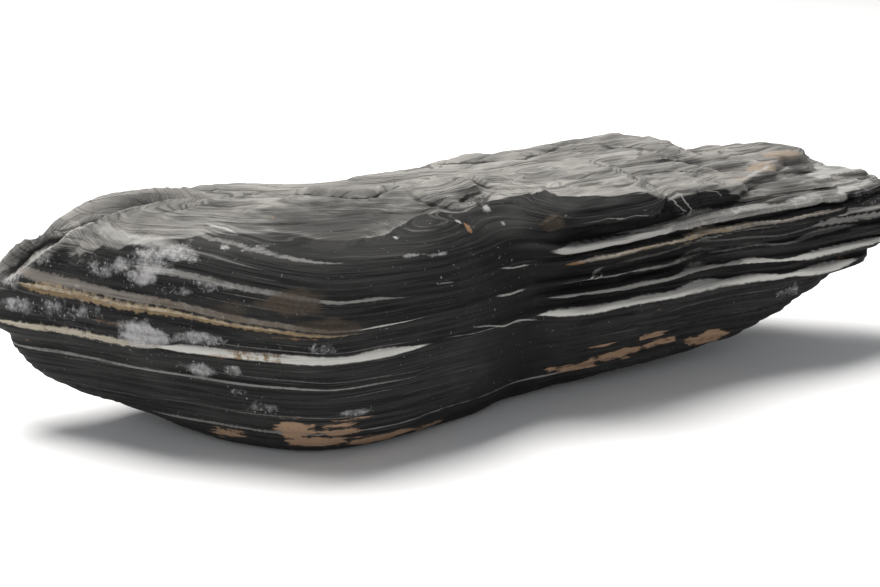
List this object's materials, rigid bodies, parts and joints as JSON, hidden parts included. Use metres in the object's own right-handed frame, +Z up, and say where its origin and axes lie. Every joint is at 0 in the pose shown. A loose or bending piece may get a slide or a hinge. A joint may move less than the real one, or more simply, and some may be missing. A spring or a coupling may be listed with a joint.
{
  "type": "aquascaping rock",
  "caption": "Long dark banded stone with ledges along its beds, a creased weathered top and a flat resting face, for laying on an aquarium's bed.",
  "frame": {"origin": "on the resting plane, under the middle of the stone's bounding box", "axes": "+X along the stone's length, towards its tapering end; +Y from the banded face towards the back; +Z up, square to the resting face"},
  "size_m": [0.2954, 0.0894, 0.0704],
  "materials": {
    "banded_stone": "satin, water-worn"
  },
  "bodies": {
    "root": {"stone": "banded_stone"}
  },
  "joints": []
}
